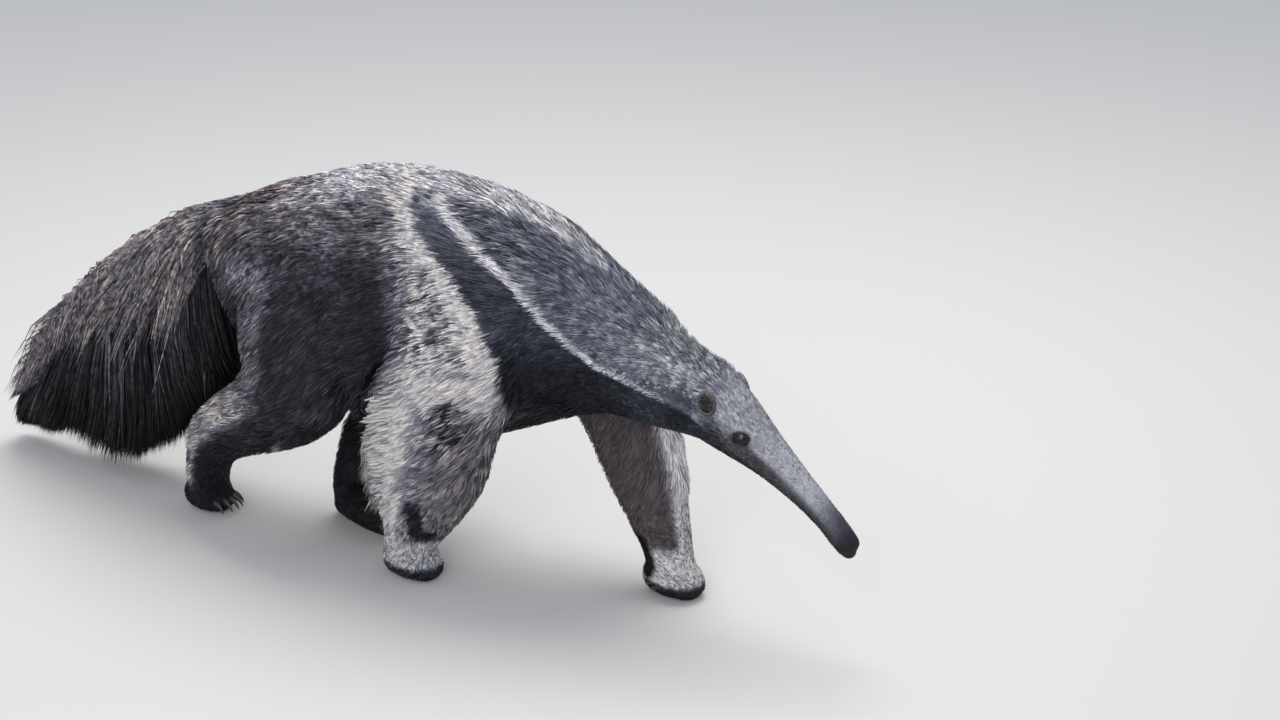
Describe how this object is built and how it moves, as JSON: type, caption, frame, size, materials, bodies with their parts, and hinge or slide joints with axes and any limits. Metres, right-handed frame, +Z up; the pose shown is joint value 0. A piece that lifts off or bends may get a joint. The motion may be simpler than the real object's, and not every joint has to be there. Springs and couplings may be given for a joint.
{
  "type": "giant anteater",
  "caption": "Life-size still model of a giant anteater walking with its long snout held low and its bushy tail trailing to the ground",
  "frame": {"origin": "The middle of the footprint, on the ground the soles rest on", "axes": "+X runs towards the snout, +Y towards the animal's left and +Z up"},
  "size_m": [1.5994, 0.3386, 0.6004],
  "materials": {
    "grey_coat": "grizzled grey-brown fur",
    "dark_coat": "near-black fur with a paler rear edge",
    "pale_coat": "whitish fur with dark patches at wrist and forearm",
    "tail_coat": "long coarse dark brown hair with paler flecks",
    "face": "short fine fur over skin, darker towards the nose",
    "claw_horn": "dark horn, satin",
    "eye": "glossy near black"
  },
  "bodies": {
    "root": {"ear_left": "face", "ear_right": "face", "eye_left": "eye", "eye_right": "eye", "forearm_left": "pale_coat", "forearm_right": "pale_coat", "foreclaw_left_1": "claw_horn", "foreclaw_left_2": "claw_horn", "foreclaw_left_3": "claw_horn", "foreclaw_right_1": "claw_horn", "foreclaw_right_2": "claw_horn", "foreclaw_right_3": "claw_horn", "forefoot_left": "pale_coat", "forefoot_right": "pale_coat", "head": "face", "hindclaw_left_1": "claw_horn", "hindclaw_left_2": "claw_horn", "hindclaw_left_3": "claw_horn", "hindclaw_left_4": "claw_horn", "hindclaw_left_5": "claw_horn", "hindclaw_right_1": "claw_horn", "hindclaw_right_2": "claw_horn", "hindclaw_right_3": "claw_horn", "hindclaw_right_4": "claw_horn", "hindclaw_right_5": "claw_horn", "hindfoot_left": "dark_coat", "hindfoot_right": "dark_coat", "neck": "grey_coat", "shank_left": "dark_coat", "shank_right": "dark_coat", "tail": "tail_coat", "thigh_left": "dark_coat", "thigh_right": "dark_coat", "torso": "grey_coat", "upper_arm_left": "pale_coat", "upper_arm_right": "pale_coat"}
  },
  "joints": []
}
